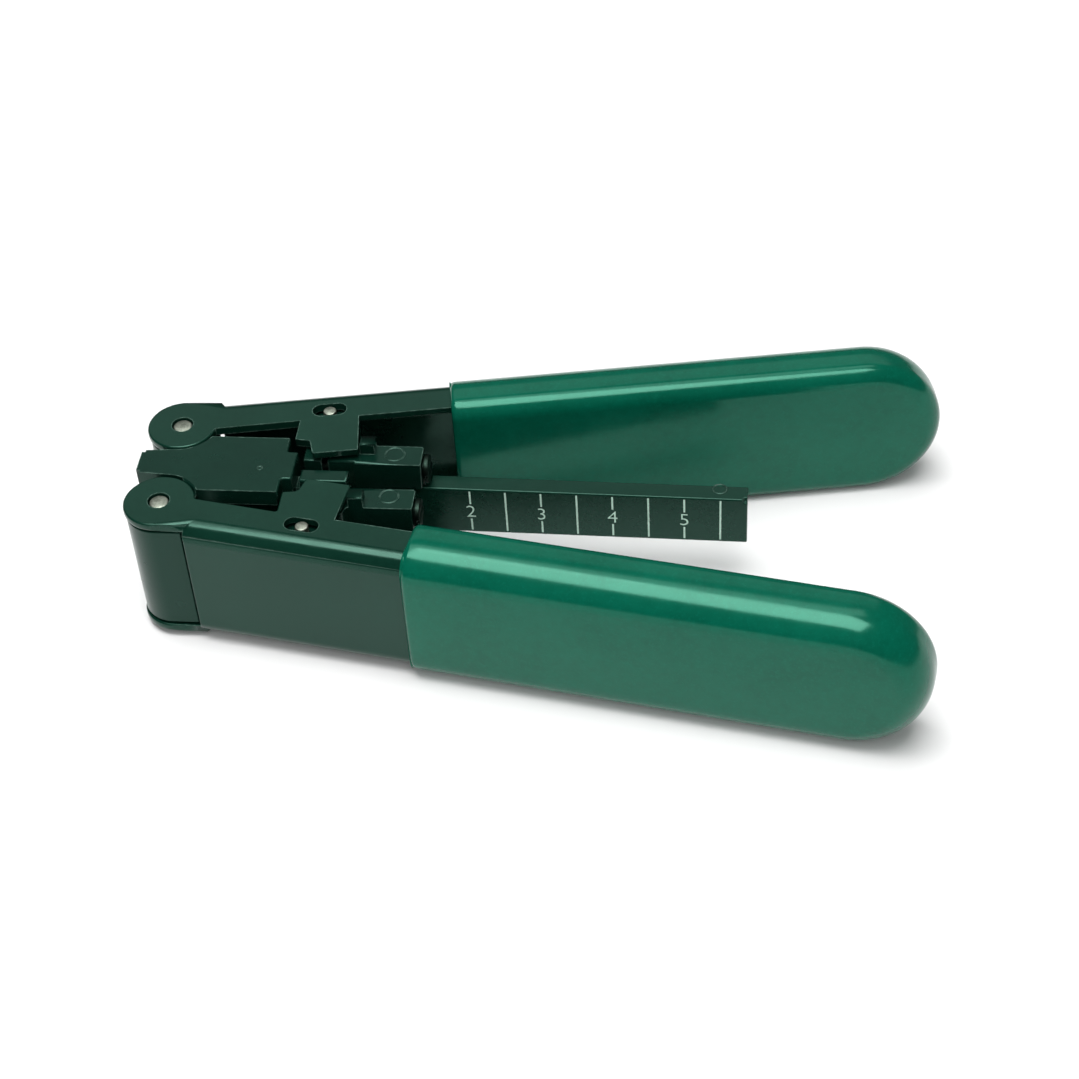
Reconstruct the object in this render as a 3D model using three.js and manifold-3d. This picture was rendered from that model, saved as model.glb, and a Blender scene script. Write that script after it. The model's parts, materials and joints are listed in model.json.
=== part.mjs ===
// Flat-cable jacket stripper: two channel handles pivot on a head block and drive two blade jaws.
// Millimetres. The tool lies on its side: +X runs from the head to the grips, +Y to the far handle, +Z up.
// Everything is built about the point midway between the two pivots, on the head's upper face, and the
// whole tool is then moved so that its origin is the bottom centre of its bounding box.

import * as THREE from 'three';
import { mergeVertices } from 'three/addons/utils/BufferGeometryUtils.js';
import Module from 'manifold-3d';

const wasm = await Module();
wasm.setup();

// ---------- driving dimensions ----------

const HEAD_HEIGHT = 20.4;                 // over both outer faces of the sheet-metal handles
const MID_Z = -HEAD_HEIGHT / 2;
const SHEET = 1.2;                        // handle sheet thickness
const GAP = 0.3;                          // running gap between pieces that face each other
const PIVOT_Y = 7.9;                      // each pivot's distance from the middle
const HANDLE_ANGLE = THREE.MathUtils.degToRad(9.76);

const FIT = 0.15;                         // radial room of a pin or screw in its hole
const PAST = 1;                           // how far a cutting solid runs past the piece it cuts

const EAR_RADIUS = 4.9;
const RIVET = { radius: 1.32, top: -0.15, chamfer: 0.25 };
const DRIVE_PIN = { x: 20.4, y: 11.9, radius: 0.93, top: -0.1, chamfer: 0.2 };

// The handle's own frame: u along the handle from the pivot, v outwards, z up.
const WEB_OUTER_V = 4.9;                  // outer face of the web
const CHANNEL_DEPTH = 6.3;                // web face to the flanges' free edges
const CHANNEL_START = 5.0;
const CHANNEL_END = 93;
const BEND_RADIUS = 2.6;
const SLOT = { u: 20.78, v: 0.48, length: 4.8, width: 2.45 };

const GRIP = { length: 70.2, over: 1.09, inner: 8.36, halfHeight: 11.3, round: 3, corner: 0.6 };
const POCKET = { room: 0.22, chamfer: 1.2 };
const GRIP_START = { far: 37.9, near: 36.0 };

const CAP_Z = -SHEET - GAP;               // upper end of the barrels, just under the ears
const BARREL = { radius: 4.7, bore: 3.6, outerY: 12.6, endX: 3.8, cavityEndX: 8, capThick: 1.7 };
const NECK = { frontX: -4.5, lipX: -4.0, lipHalf: 1.9, half: 2.3, shoulderX: 16.0, hollow: EAR_RADIUS + 0.4 };
const TONGUE = { half: 2.8, endX: 17.45 };
const PLATE = { half: 5.55, thick: 2.5 };
const CORE_HALF = 4.2;                    // half width of the cast body between the two plates
const BRIDGE = { startX: -1.5, endX: 4.4 };
const CABLE_SLOT = { halfWidth: 1.3, halfHeight: 2.05 };
const FINGER = { halfWidth: 1.2, rootX: 17, endX: 24.6, grooveEndX: 18.0, grooveDepth: 1.45 };

const JAW = { innerY: 2.5, outerY: 6.4, rearX: 34.45, topZ: -1.75, corner: 0.25, frontX: 17.9,
  frontInnerY: 3.0, stepX: 25.0, waistX: 25.5, neckX: 24.6, neckY: 8.3, bossY: 11.5, clampY: 8.6 };
const LUG = { startX: 25.7, endX: 27.8, innerY: 4.6, foot: 0.5 };
const BLADE = { x: 20.9, thick: 0.6, bevel: 1.0, edgeY: 1.9, rearY: 8, half: 4.4, noseHalf: 1.75,
  trimY: 3.1 };
const CLAMP_OUTER_Y = 8.3;
const JAW_SCREW = { y: 4.55, z: -4.1, tipX: 18.7, shank: 1.2, head: 2.0, headThick: 0.75, slotDepth: 0.35,
  slotHalf: 0.3 };
const GUIDE_PIN = { x: 23.2, z: -6.75, radius: 0.9, half: 5.5, bore: 0.2, boreRoom: 2.1 };

const RULER = { frontY: 3.0, top: -6.4, height: 8.05, thick: 0.8, flange: 2.8, tailX: 27.0, startX: 35.3,
  endX: 79.6, tilt: THREE.MathUtils.degToRad(-0.9) };
const RULER_RIVET = { xs: [29.2, 32.6], radius: 0.9, head: 1.5, headThick: 0.35 };

const SPRING = { meanRadius: 2.2, wire: 0.45, turns: 4, pitch: 1.15, outerLeg: 11.3, innerLeg: 8.5 };

// ---------- finishes ----------

function finish(color, roughness, metalness) {
  return new THREE.MeshStandardMaterial({ color, roughness, metalness });
}

const paint = finish(0x1d2c27, 0.35, 0.3);
const gripPlastic = finish(0x00694f, 0.3, 0.0);
const brightSteel = finish(0xb8bdb6, 0.35, 1.0);
const toolSteel = finish(0x8f9494, 0.25, 1.0);
const springSteel = finish(0x4a4f50, 0.4, 0.9);
const darkSteel = finish(0x202322, 0.4, 0.8);

// ---------- solids ----------

function toSolid(geometry) {
  const bare = geometry.clone();
  bare.deleteAttribute('normal');
  bare.deleteAttribute('uv');
  const welded = mergeVertices(bare, 1e-4);
  return new wasm.Manifold(new wasm.Mesh({
    numProp: 3,
    vertProperties: new Float32Array(welded.attributes.position.array),
    triVerts: new Uint32Array(welded.index.array),
  }));
}

function toGeometry(solid) {
  const shape = solid.getMesh();
  const geometry = new THREE.BufferGeometry();
  geometry.setAttribute('position', new THREE.BufferAttribute(new Float32Array(shape.vertProperties), 3));
  geometry.setIndex(new THREE.BufferAttribute(new Uint32Array(shape.triVerts), 1));
  geometry.computeVertexNormals();
  return geometry;
}

const join = (...geometries) => geometries.map(toSolid).reduce((sum, solid) => sum.add(solid));
const cut = (solid, ...tools) => tools.map(toSolid).reduce((rest, tool) => rest.subtract(tool), solid);

function block(x0, x1, y0, y1, z0, z1) {
  const box = new THREE.BoxGeometry(x1 - x0, y1 - y0, z1 - z0);
  return box.translate((x0 + x1) / 2, (y0 + y1) / 2, (z0 + z1) / 2);
}

// A round rod from one point to another; its facets start on the same side for every rod.
function rod(radius, from, to, sides = 24) {
  const start = new THREE.Vector3(...from);
  const end = new THREE.Vector3(...to);
  const along = end.clone().sub(start);
  const upright = new THREE.Vector3(0, 1, 0);
  const turn = new THREE.Quaternion().setFromUnitVectors(upright, along.clone().normalize());
  const geometry = new THREE.CylinderGeometry(radius, radius, along.length(), sides);
  return geometry.applyQuaternion(turn).translate(...start.add(end).multiplyScalar(0.5));
}

function plate(shape, z0, z1, curveSegments = 12) {
  const geometry = new THREE.ExtrudeGeometry(shape, { depth: z1 - z0, bevelEnabled: false, curveSegments });
  return geometry.translate(0, 0, z0);
}

// The near side is the far side seen in a mirror that stands on the middle plane.
function mirrored(geometry) {
  const copy = mergeVertices(geometry.clone().deleteAttribute('uv').deleteAttribute('normal'), 1e-4);
  copy.applyMatrix4(new THREE.Matrix4().makeScale(1, -1, 1));
  const corners = copy.index.array;
  for (let i = 0; i < corners.length; i += 3) {
    [corners[i + 1], corners[i + 2]] = [corners[i + 2], corners[i + 1]];
  }
  copy.computeVertexNormals();
  return copy;
}

// Turns the z of the upper half into the z of the same feature in the lower half.
const below = (z) => 2 * MID_Z - z;

const tool = new THREE.Group();

function add(name, material, geometry) {
  const mesh = new THREE.Mesh(geometry, material);
  mesh.name = name;
  tool.add(mesh);
  return mesh;
}

// Adds one piece to each side, built once for the far side.
function addPair(name, material, build) {
  add(`far_${name}`, material, build('far'));
  add(`near_${name}`, material, mirrored(build('near')));
}

// ---------- head block ----------

// Outline of the neck and plate between the ears: hollowed round each ear, with a tongue at the back.
function headOutline(shoulder) {
  const shape = new THREE.Shape();
  const startAngle = THREE.MathUtils.degToRad(-80);
  const endAngle = -Math.asin((PIVOT_Y - shoulder) / NECK.hollow);
  shape.moveTo(NECK.frontX, -NECK.lipHalf);
  shape.lineTo(NECK.lipX, -NECK.lipHalf);
  shape.lineTo(NECK.lipX, -NECK.half);
  shape.absarc(0, -PIVOT_Y, NECK.hollow, -startAngle, -endAngle, true);
  shape.lineTo(NECK.shoulderX, -shoulder);
  shape.lineTo(NECK.shoulderX, -TONGUE.half);
  shape.lineTo(TONGUE.endX, -TONGUE.half);
  shape.lineTo(TONGUE.endX, TONGUE.half);
  shape.lineTo(NECK.shoulderX, TONGUE.half);
  shape.lineTo(NECK.shoulderX, shoulder);
  shape.absarc(0, PIVOT_Y, NECK.hollow, endAngle, startAngle, true);
  shape.lineTo(NECK.lipX, NECK.half);
  shape.lineTo(NECK.lipX, NECK.lipHalf);
  shape.lineTo(NECK.frontX, NECK.lipHalf);
  shape.closePath();
  return shape;
}

// A barrel stands round each pivot; its wall runs on straight to meet the handle's web.
function barrelOutline(radius, outerY, endX) {
  const shape = new THREE.Shape();
  shape.moveTo(endX, PIVOT_Y - radius);
  shape.lineTo(endX, outerY);
  shape.lineTo(0, outerY);
  shape.absarc(0, PIVOT_Y, radius, Math.PI / 2, Math.PI * 1.5, false);
  shape.closePath();
  return shape;
}

function barrel() {
  const cavityTop = CAP_Z - BARREL.capThick;
  const wall = BARREL.radius - BARREL.bore;
  const outside = barrelOutline(BARREL.radius, BARREL.outerY, BARREL.endX);
  const inside = barrelOutline(BARREL.bore, BARREL.outerY - wall, BARREL.cavityEndX);
  return {
    body: plate(outside, below(CAP_Z), CAP_Z, 20),
    cavity: plate(inside, below(cavityTop), cavityTop, 16),
  };
}

function headBlock() {
  const { body, cavity } = barrel();
  const bridgeY = PIVOT_Y - 1;
  const bridge = block(BRIDGE.startX, BRIDGE.endX, -bridgeY, bridgeY, below(CAP_Z), CAP_Z);
  const fingerFoot = MID_Z + CABLE_SLOT.halfHeight;
  const finger = block(FINGER.rootX, FINGER.endX, -FINGER.halfWidth, FINGER.halfWidth, fingerFoot, JAW.topZ);
  const lowerFinger = block(FINGER.rootX, FINGER.endX, -FINGER.halfWidth, FINGER.halfWidth,
    below(JAW.topZ), below(fingerFoot));
  const solid = join(
    plate(headOutline(CORE_HALF), -HEAD_HEIGHT, 0),
    plate(headOutline(PLATE.half), -PLATE.thick, 0),
    plate(headOutline(PLATE.half), -HEAD_HEIGHT, below(-PLATE.thick)),
    bridge, body, mirrored(body), finger, lowerFinger,
  );
  const pivotHole = rod(RIVET.radius + FIT, [0, PIVOT_Y, -HEAD_HEIGHT - PAST], [0, PIVOT_Y, PAST]);
  const cableSlot = block(NECK.frontX - PAST, FINGER.endX + PAST, -CABLE_SLOT.halfWidth, CABLE_SLOT.halfWidth,
    MID_Z - CABLE_SLOT.halfHeight, MID_Z + CABLE_SLOT.halfHeight);
  const grooveFloor = JAW.topZ - FINGER.grooveDepth;
  const groove = block(TONGUE.endX, FINGER.grooveEndX, -TONGUE.half, TONGUE.half,
    grooveFloor, JAW.topZ + PAST);
  const lowerGroove = block(TONGUE.endX, FINGER.grooveEndX, -TONGUE.half, TONGUE.half,
    below(JAW.topZ + PAST), below(grooveFloor));
  const pinHoles = [GUIDE_PIN.z, below(GUIDE_PIN.z)].map(
    (z) => rod(GUIDE_PIN.radius + FIT, [GUIDE_PIN.x, -TONGUE.half, z], [GUIDE_PIN.x, TONGUE.half, z], 16));
  return toGeometry(cut(solid, cavity, mirrored(cavity), pivotHole, mirrored(pivotHole), cableSlot,
    groove, lowerGroove, ...pinHoles));
}

add('head_block', paint, headBlock());

// ---------- pivots and guide pins ----------

// A straight rivet with a small chamfer at each end, a little below the ears' faces.
function chamferedPin({ radius, top, chamfer }, x, y) {
  const bottom = below(top);
  const profile = [
    new THREE.Vector2(0, bottom),
    new THREE.Vector2(radius - chamfer, bottom),
    new THREE.Vector2(radius, bottom + chamfer),
    new THREE.Vector2(radius, top - chamfer),
    new THREE.Vector2(radius - chamfer, top),
    new THREE.Vector2(0, top),
  ];
  const geometry = new THREE.LatheGeometry(profile, 24);
  return geometry.rotateX(Math.PI / 2).translate(x, y, 0);
}

addPair('pivot_rivet', brightSteel, () => chamferedPin(RIVET, 0, PIVOT_Y));

[['upper', GUIDE_PIN.z], ['lower', below(GUIDE_PIN.z)]].forEach(([level, z]) => {
  const pin = rod(GUIDE_PIN.radius, [GUIDE_PIN.x, -GUIDE_PIN.half, z], [GUIDE_PIN.x, GUIDE_PIN.half, z], 16);
  add(`jaw_guide_pin_${level}`, brightSteel, pin);
});

// ---------- handles ----------

// Section of the bent channel: v across, z up, open towards the middle of the tool.
function channelSection() {
  const v0 = WEB_OUTER_V - CHANNEL_DEPTH;
  const v1 = WEB_OUTER_V;
  const inner = BEND_RADIUS - SHEET;
  const shape = new THREE.Shape();
  shape.moveTo(v0, 0);
  shape.lineTo(v0, -SHEET);
  shape.lineTo(v1 - BEND_RADIUS, -SHEET);
  shape.absarc(v1 - BEND_RADIUS, -BEND_RADIUS, inner, Math.PI / 2, 0, true);
  shape.lineTo(v1 - SHEET, -HEAD_HEIGHT + BEND_RADIUS);
  shape.absarc(v1 - BEND_RADIUS, -HEAD_HEIGHT + BEND_RADIUS, inner, 0, -Math.PI / 2, true);
  shape.lineTo(v0, -HEAD_HEIGHT + SHEET);
  shape.lineTo(v0, -HEAD_HEIGHT);
  shape.lineTo(v1 - BEND_RADIUS, -HEAD_HEIGHT);
  shape.absarc(v1 - BEND_RADIUS, -HEAD_HEIGHT + BEND_RADIUS, BEND_RADIUS, -Math.PI / 2, 0, false);
  shape.lineTo(v1, -BEND_RADIUS);
  shape.absarc(v1 - BEND_RADIUS, -BEND_RADIUS, BEND_RADIUS, 0, Math.PI / 2, false);
  shape.closePath();
  return shape;
}

// Outline of the ear, the flange beside the head and the arm that reaches in over the jaw.
function earAndArmOutline() {
  const edgeV = WEB_OUTER_V - CHANNEL_DEPTH;
  const backV = WEB_OUTER_V - BEND_RADIUS - 0.1;
  const junction = -Math.asin(-(edgeV - 0.1) / EAR_RADIUS);
  const shape = new THREE.Shape();
  shape.moveTo(16.6, edgeV);
  shape.lineTo(15.95, -5.3);
  shape.lineTo(17.95, -5.9);
  shape.lineTo(18.3, -8.6);
  shape.lineTo(24.6, -8.6);
  shape.lineTo(24.9, edgeV);
  shape.lineTo(27, edgeV + 0.1);
  shape.lineTo(27, backV);
  shape.lineTo(6.5, backV);
  shape.lineTo(5.45, 3.98);
  shape.lineTo(0.83, 4.83);
  shape.absarc(0, 0, EAR_RADIUS, THREE.MathUtils.degToRad(80.3), junction + 2 * Math.PI, false);
  shape.closePath();
  return shape;
}

function slotOutline() {
  const reach = (SLOT.length - SLOT.width) / 2;
  const shape = new THREE.Shape();
  shape.absarc(SLOT.u + reach, SLOT.v, SLOT.width / 2, -Math.PI / 2, Math.PI / 2, false);
  shape.absarc(SLOT.u - reach, SLOT.v, SLOT.width / 2, Math.PI / 2, Math.PI * 1.5, false);
  shape.closePath();
  return shape;
}

// Moves a geometry from the handle's own frame to its place beside the head.
const placeOnHandle = (geometry) => geometry.rotateZ(HANDLE_ANGLE).translate(0, PIVOT_Y, 0);

// Runs a section, drawn in v and z, along the handle.
function runAlong(section, from, to) {
  const run = new THREE.ExtrudeGeometry(section, { depth: to - from, bevelEnabled: false, curveSegments: 5 });
  const turned = new THREE.Matrix4().makeBasis(
    new THREE.Vector3(0, 1, 0), new THREE.Vector3(0, 0, 1), new THREE.Vector3(1, 0, 0));
  return run.applyMatrix4(turned).translate(from, 0, 0);
}

function handleFrame() {
  const solid = join(
    runAlong(channelSection(), CHANNEL_START, CHANNEL_END),
    plate(earAndArmOutline(), -SHEET, 0, 28),
    plate(earAndArmOutline(), -HEAD_HEIGHT, -HEAD_HEIGHT + SHEET, 28),
  );
  const rivetHole = rod(RIVET.radius + 0.2, [0, 0, -HEAD_HEIGHT - PAST], [0, 0, PAST]);
  const pinSlot = plate(slotOutline(), -HEAD_HEIGHT - PAST, PAST, 10);
  return placeOnHandle(toGeometry(cut(solid, rivetHole, pinSlot)));
}

addPair('handle_frame', paint, handleFrame);

// ---------- grips ----------

// Side view of a grip: straight sides, small corners at the rim and a round end.
function gripOutline(start, inset) {
  const half = GRIP.halfHeight - inset;
  const left = start + inset;
  const centre = start + GRIP.length - GRIP.halfHeight;
  const corner = GRIP.corner;
  const shape = new THREE.Shape();
  shape.absarc(left + corner, MID_Z - half + corner, corner, Math.PI, Math.PI * 1.5, false);
  shape.absarc(centre, MID_Z, half, -Math.PI / 2, Math.PI / 2, false);
  shape.absarc(left + corner, MID_Z + half - corner, corner, Math.PI / 2, Math.PI, false);
  shape.closePath();
  return shape;
}

// The room for the handle inside its grip, with the bends' corners cut off.
function pocketSection() {
  const { room, chamfer } = POCKET;
  const inner = WEB_OUTER_V - CHANNEL_DEPTH - room;
  const outer = WEB_OUTER_V + room;
  const shape = new THREE.Shape();
  shape.moveTo(inner, room);
  shape.lineTo(inner, -HEAD_HEIGHT - room);
  shape.lineTo(outer - chamfer, -HEAD_HEIGHT - room);
  shape.lineTo(outer, -HEAD_HEIGHT - room + chamfer);
  shape.lineTo(outer, room - chamfer);
  shape.lineTo(outer - chamfer, room);
  shape.closePath();
  return shape;
}

function grip(side) {
  const start = GRIP_START[side];
  const thickness = GRIP.over + GRIP.inner;
  const sleeve = new THREE.ExtrudeGeometry(gripOutline(start, GRIP.round), {
    depth: thickness - 2 * GRIP.round,
    bevelThickness: GRIP.round,
    bevelSize: GRIP.round,
    bevelSegments: 4,
    curveSegments: 12,
  });
  // The outline's y is the tool's z, and the sleeve's thickness runs inwards from its outer face.
  const standUp = new THREE.Matrix4().makeBasis(
    new THREE.Vector3(1, 0, 0), new THREE.Vector3(0, 0, 1), new THREE.Vector3(0, -1, 0));
  sleeve.applyMatrix4(standUp).translate(0, WEB_OUTER_V + GRIP.over - GRIP.round, 0);
  const pocket = runAlong(pocketSection(), start - PAST, CHANNEL_END + POCKET.room);
  return placeOnHandle(toGeometry(cut(toSolid(sleeve), pocket)));
}

addPair('grip', gripPlastic, grip);

// ---------- return springs ----------

// Torsion spring: an inner leg, a coil round the rivet and an outer leg along the handle's web.
class SpringLine extends THREE.Curve {
  constructor() {
    super();
    this.sweep = SPRING.turns * 2 * Math.PI + Math.PI - HANDLE_ANGLE;
    this.coilLength = this.sweep * SPRING.meanRadius;
    this.total = SPRING.innerLeg + this.coilLength + SPRING.outerLeg;
    this.rise = SPRING.pitch * this.sweep / (2 * Math.PI);
  }

  getPoint(t, target = new THREE.Vector3()) {
    const travelled = t * this.total;
    const low = MID_Z - this.rise / 2;
    const r = SPRING.meanRadius;
    if (travelled < SPRING.innerLeg) {
      return target.set(SPRING.innerLeg - travelled, -r, low);
    }
    const onCoil = Math.min(travelled - SPRING.innerLeg, this.coilLength);
    const angle = -Math.PI / 2 - onCoil / r;
    const onLeg = travelled - SPRING.innerLeg - onCoil;
    const z = low + this.rise * onCoil / this.coilLength;
    const x = r * Math.cos(angle) + onLeg * Math.sin(angle);
    const y = r * Math.sin(angle) - onLeg * Math.cos(angle);
    return target.set(x, y, z);
  }
}

function returnSpring() {
  const section = new THREE.Shape();
  section.absarc(0, 0, SPRING.wire, 0, 2 * Math.PI, false);
  const line = new SpringLine();
  const spring = new THREE.ExtrudeGeometry(section, { steps: 84, extrudePath: line, curveSegments: 3 });
  return spring.translate(0, PIVOT_Y, 0);
}

addPair('return_spring', springSteel, returnSpring);

// ---------- jaws ----------

const screwLevels = [JAW_SCREW.z, below(JAW_SCREW.z)];
const pinLevels = [GUIDE_PIN.z, below(GUIDE_PIN.z)];
const bladeFrontX = BLADE.x - BLADE.thick / 2;
const bladeBackX = BLADE.x + BLADE.thick / 2;

function jawMainOutline() {
  const { corner, innerY, outerY, rearX } = JAW;
  const shape = new THREE.Shape();
  shape.moveTo(bladeBackX + FIT, JAW.frontInnerY);
  shape.lineTo(JAW.stepX, JAW.frontInnerY);
  shape.lineTo(JAW.stepX, innerY);
  shape.lineTo(rearX - corner, innerY);
  shape.lineTo(rearX, innerY + corner);
  shape.lineTo(rearX, outerY - corner);
  shape.lineTo(rearX - corner, outerY);
  shape.lineTo(JAW.waistX, outerY);
  shape.lineTo(JAW.neckX, JAW.neckY);
  shape.lineTo(JAW.neckX, JAW.bossY);
  shape.absarc(JAW.neckX - 2.3, JAW.bossY, 2.3, 0, Math.PI / 2, false);
  shape.absarc(JAW.frontX + 2.0, JAW.bossY + 0.3, 2.0, Math.PI / 2, Math.PI, false);
  shape.lineTo(JAW.frontX, JAW.clampY);
  shape.lineTo(bladeBackX + FIT, JAW.clampY);
  shape.closePath();
  return shape;
}

const guideBores = () => pinLevels.map((z) => {
  const { x, radius, half, bore, boreRoom } = GUIDE_PIN;
  return rod(radius + bore, [x, PAST, z], [x, half + boreRoom, z], 16);
});

function jaw(side) {
  const body = plate(jawMainOutline(), below(JAW.topZ), JAW.topZ, 8);
  const lugFoot = JAW.topZ - LUG.foot;
  const upperLug = block(LUG.startX, LUG.endX, LUG.innerY, JAW.outerY, lugFoot, 0);
  const lowerLug = block(LUG.startX, LUG.endX, LUG.innerY, JAW.outerY, -HEAD_HEIGHT, below(lugFoot));
  const screwHole = (z) => rod(JAW_SCREW.shank + FIT,
    [JAW.frontX - PAST, JAW_SCREW.y, z], [JAW.rearX + PAST, JAW_SCREW.y, z]);
  const cuts = [
    rod(DRIVE_PIN.radius + FIT, [DRIVE_PIN.x, DRIVE_PIN.y, -HEAD_HEIGHT], [DRIVE_PIN.x, DRIVE_PIN.y, 0]),
    ...screwLevels.map(screwHole),
    ...guideBores(),
  ];
  if (side === 'far') {
    const seatBackY = RULER.frontY + RULER.thick + GAP;
    const seatFloor = RULER.top - RULER.height - GAP;
    cuts.push(block(RULER.tailX - GAP, JAW.rearX + PAST, PAST, seatBackY, seatFloor, RULER.top + GAP));
    RULER_RIVET.xs.forEach((x) => {
      cuts.push(rod(RULER_RIVET.radius + FIT, [x, 2, MID_Z], [x, JAW.outerY + PAST, MID_Z], 16));
    });
  }
  return toGeometry(cut(join(body, upperLug, lowerLug), ...cuts));
}

addPair('jaw', paint, jaw);

// The blade stands across the cable between the jaw and its clamp; only its nose passes the jaw's face.
function blade() {
  const tip = 0.03;
  const edge = new THREE.Shape();
  edge.moveTo(bladeFrontX, BLADE.rearY);
  edge.lineTo(bladeFrontX, BLADE.edgeY + BLADE.bevel);
  edge.lineTo(BLADE.x - tip, BLADE.edgeY);
  edge.lineTo(BLADE.x + tip, BLADE.edgeY);
  edge.lineTo(bladeBackX, BLADE.edgeY + BLADE.bevel);
  edge.lineTo(bladeBackX, BLADE.rearY);
  edge.closePath();
  const body = plate(edge, MID_Z - BLADE.half, MID_Z + BLADE.half);
  const noseTop = MID_Z + BLADE.noseHalf;
  const trimTop = MID_Z + BLADE.half + PAST;
  const upperTrim = block(bladeFrontX - PAST, bladeBackX + PAST, 1, BLADE.trimY, noseTop, trimTop);
  const lowerTrim = block(bladeFrontX - PAST, bladeBackX + PAST, 1, BLADE.trimY,
    below(trimTop), below(noseTop));
  return toGeometry(cut(toSolid(body), upperTrim, lowerTrim));
}

addPair('blade', toolSteel, blade);

function bladeClamp() {
  const body = block(JAW.frontX, bladeFrontX - FIT, JAW.frontInnerY, CLAMP_OUTER_Y,
    below(JAW.topZ), JAW.topZ);
  const holes = screwLevels.map(
    (z) => rod(JAW_SCREW.shank + FIT, [JAW.frontX + 0.4, JAW_SCREW.y, z], [bladeBackX, JAW_SCREW.y, z]));
  return toGeometry(cut(toSolid(body), ...holes));
}

addPair('blade_clamp', paint, bladeClamp);

// Slotted pan-head screw, in from the back of the jaw into the clamp.
function jawScrew(z) {
  const { y, shank, head, headThick, slotDepth, slotHalf } = JAW_SCREW;
  const headStart = JAW.rearX + FIT;
  const headEnd = headStart + headThick;
  const stem = rod(shank, [JAW_SCREW.tipX, y, z], [headStart + 0.2, y, z]);
  const disc = rod(head, [headStart, y, z], [headEnd, y, z]);
  const slot = block(headEnd - slotDepth, headEnd + PAST, y - head - PAST, y + head + PAST,
    z - slotHalf, z + slotHalf);
  return toGeometry(cut(join(stem, disc), slot));
}

addPair('jaw_screw_upper', darkSteel, () => jawScrew(screwLevels[0]));
addPair('jaw_screw_lower', darkSteel, () => jawScrew(screwLevels[1]));
addPair('drive_pin', brightSteel, () => chamferedPin(DRIVE_PIN, DRIVE_PIN.x, DRIVE_PIN.y));

// ---------- ruler ----------

// An angle strip: the scale face stands upright and the flange lies along its top edge.
function ruler() {
  const { frontY, top, height, thick, flange, tailX, startX, endX } = RULER;
  const face = block(tailX, endX, frontY, frontY + thick, top - height, top);
  const lip = block(startX, endX, frontY, frontY + flange, top - thick, top);
  const holes = RULER_RIVET.xs.map(
    (x) => rod(RULER_RIVET.radius + FIT, [x, frontY - PAST, MID_Z], [x, frontY + 2, MID_Z], 16));
  const cornerCut = block(endX - 0.6, endX + 1, frontY - 1, frontY + 0.5, top - 0.6, top + 1);
  const strip = toGeometry(cut(join(face, lip), ...holes, cornerCut));
  return strip.translate(-startX, -frontY, 0).rotateZ(RULER.tilt).translate(startX, frontY, 0);
}

add('ruler', paint, ruler());

RULER_RIVET.xs.forEach((x, index) => {
  const y = RULER.frontY;
  const headBack = y - FIT;
  const shank = rod(RULER_RIVET.radius, [x, headBack - 0.05, MID_Z], [x, JAW.outerY - GAP, MID_Z], 16);
  const head = rod(RULER_RIVET.head, [x, headBack - RULER_RIVET.headThick, MID_Z], [x, headBack, MID_Z], 16);
  add(`ruler_rivet_${index + 1}`, brightSteel, toGeometry(join(shank, head)));
});

// ---------- origin ----------

const bounds = new THREE.Box3().setFromObject(tool);
const middle = bounds.getCenter(new THREE.Vector3());
tool.position.set(-middle.x, -middle.y, -bounds.min.z);

export default tool;
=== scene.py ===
import json
import math

import bmesh
import bpy
from mathutils import Matrix, Vector

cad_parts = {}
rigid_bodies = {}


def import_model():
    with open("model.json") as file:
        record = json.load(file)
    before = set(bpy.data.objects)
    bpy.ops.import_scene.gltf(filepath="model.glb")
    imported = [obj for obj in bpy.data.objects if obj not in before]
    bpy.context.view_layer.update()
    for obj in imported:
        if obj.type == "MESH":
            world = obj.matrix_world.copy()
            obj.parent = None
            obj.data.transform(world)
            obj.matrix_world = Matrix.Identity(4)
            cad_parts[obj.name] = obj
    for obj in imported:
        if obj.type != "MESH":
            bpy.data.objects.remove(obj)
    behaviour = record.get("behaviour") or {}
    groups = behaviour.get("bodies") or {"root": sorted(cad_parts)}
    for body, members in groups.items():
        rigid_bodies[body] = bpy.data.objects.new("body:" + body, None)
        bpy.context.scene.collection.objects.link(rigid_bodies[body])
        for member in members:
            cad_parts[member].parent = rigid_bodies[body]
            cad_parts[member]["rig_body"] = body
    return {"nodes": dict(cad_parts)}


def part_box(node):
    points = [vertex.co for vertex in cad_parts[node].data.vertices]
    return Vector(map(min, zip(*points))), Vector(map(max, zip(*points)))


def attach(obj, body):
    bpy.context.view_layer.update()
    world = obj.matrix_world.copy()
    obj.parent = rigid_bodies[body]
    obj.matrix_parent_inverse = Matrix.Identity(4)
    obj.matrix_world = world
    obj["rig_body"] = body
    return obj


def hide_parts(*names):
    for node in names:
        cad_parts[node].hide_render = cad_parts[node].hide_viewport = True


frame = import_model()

mm = 0.001
scene = bpy.context.scene
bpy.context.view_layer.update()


def middleOf(node):
    low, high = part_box(node)
    return (low + high) / 2


# the tool's own origin: midway between the two pivots, level with the head's upper face
toolOrigin = (middleOf("far_pivot_rivet") + middleOf("near_pivot_rivet")) / 2
toolOrigin.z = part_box("head_block")[1].z
sides = {"far": 1, "near": -1}


def place(x, y, z):
    return toolOrigin + Vector((x, y, z)) * mm


print("frame loaded, tool origin", [round(v / mm, 3) for v in toolOrigin])

# small helpers that wire up the shader nodes


def newMaterial(name):
    material = bpy.data.materials.new(name)
    material.use_nodes = True
    tree = material.node_tree
    tree.nodes.clear()
    output = tree.nodes.new("ShaderNodeOutputMaterial")
    shader = tree.nodes.new("ShaderNodeBsdfPrincipled")
    tree.links.new(shader.outputs["BSDF"], output.inputs["Surface"])
    coords = tree.nodes.new("ShaderNodeTexCoord").outputs["Object"]
    return material, tree, shader, coords


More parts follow.
